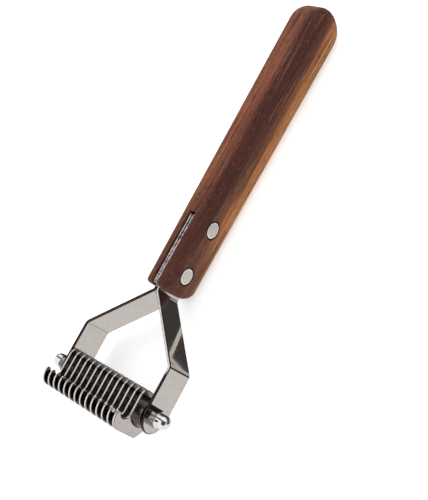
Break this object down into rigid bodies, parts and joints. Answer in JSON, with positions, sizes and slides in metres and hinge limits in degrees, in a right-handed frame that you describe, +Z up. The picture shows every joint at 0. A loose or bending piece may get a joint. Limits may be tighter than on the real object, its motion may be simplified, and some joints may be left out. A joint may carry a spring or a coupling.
{
  "type": "dematting rake",
  "caption": "Hand-held dematting rake: wooden handle, Y-shaped frame of two bent steel strips and a row of hooked blade plates on an axle between them.",
  "frame": {"origin": "centre of the footprint, on the surface the tool lies on with its hooks up", "axes": "+X along the blade axle, +Y along the handle towards its domed end, +Z up, the way the hooks point"},
  "size_m": [0.062, 0.184, 0.0284],
  "materials": {
    "wood": "satin oiled dark hardwood, grain along the handle",
    "arm_steel": "polished stainless strip, fine brushing along its length",
    "rivet_metal": "flush ground, satin",
    "axle_steel": "plain turned",
    "blade_steel": "mirror-dark polished faces, bright edges",
    "spacer_steel": "plain turned",
    "nut_chrome": "mirror plated"
  },
  "bodies": {
    "frame": {"handle": "wood", "arm_left": "arm_steel", "arm_right": "arm_steel", "rivet_lower_post": "rivet_metal", "rivet_lower_tube": "rivet_metal", "rivet_upper_post": "rivet_metal", "rivet_upper_tube": "rivet_metal"},
    "blade_set": {"axle": "axle_steel", "blade_01": "blade_steel", "blade_02": "blade_steel", "blade_03": "blade_steel", "blade_04": "blade_steel", "blade_05": "blade_steel", "blade_06": "blade_steel", "blade_07": "blade_steel", "blade_08": "blade_steel", "blade_09": "blade_steel", "blade_10": "blade_steel", "blade_11": "blade_steel", "blade_12": "blade_steel", "blade_13": "blade_steel", "blade_14": "blade_steel", "spacer_01": "spacer_steel", "spacer_02": "spacer_steel", "spacer_03": "spacer_steel", "spacer_04": "spacer_steel", "spacer_05": "spacer_steel", "spacer_06": "spacer_steel", "spacer_07": "spacer_steel", "spacer_08": "spacer_steel", "spacer_09": "spacer_steel", "spacer_10": "spacer_steel", "spacer_11": "spacer_steel", "spacer_12": "spacer_steel", "spacer_13": "spacer_steel", "spacer_14": "spacer_steel", "spacer_15": "spacer_steel"},
    "nut_left": {"cap_nut_left": "nut_chrome"},
    "nut_right": {"cap_nut_right": "nut_chrome"}
  },
  "joints": [
    {"name": "blade_set_turn", "type": "hinge", "parent": "frame", "child": "blade_set", "pos_m": [0, -0.0817, 0.0133], "axis": [1, 0, 0], "continuous": true},
    {"name": "nut_left_turn", "type": "hinge", "parent": "blade_set", "child": "nut_left", "pos_m": [-0.027, -0.0817, 0.0133], "axis": [-1, 0, 0], "continuous": true},
    {"name": "nut_right_turn", "type": "hinge", "parent": "blade_set", "child": "nut_right", "pos_m": [0.027, -0.0817, 0.0133], "axis": [1, 0, 0], "continuous": true}
  ]
}
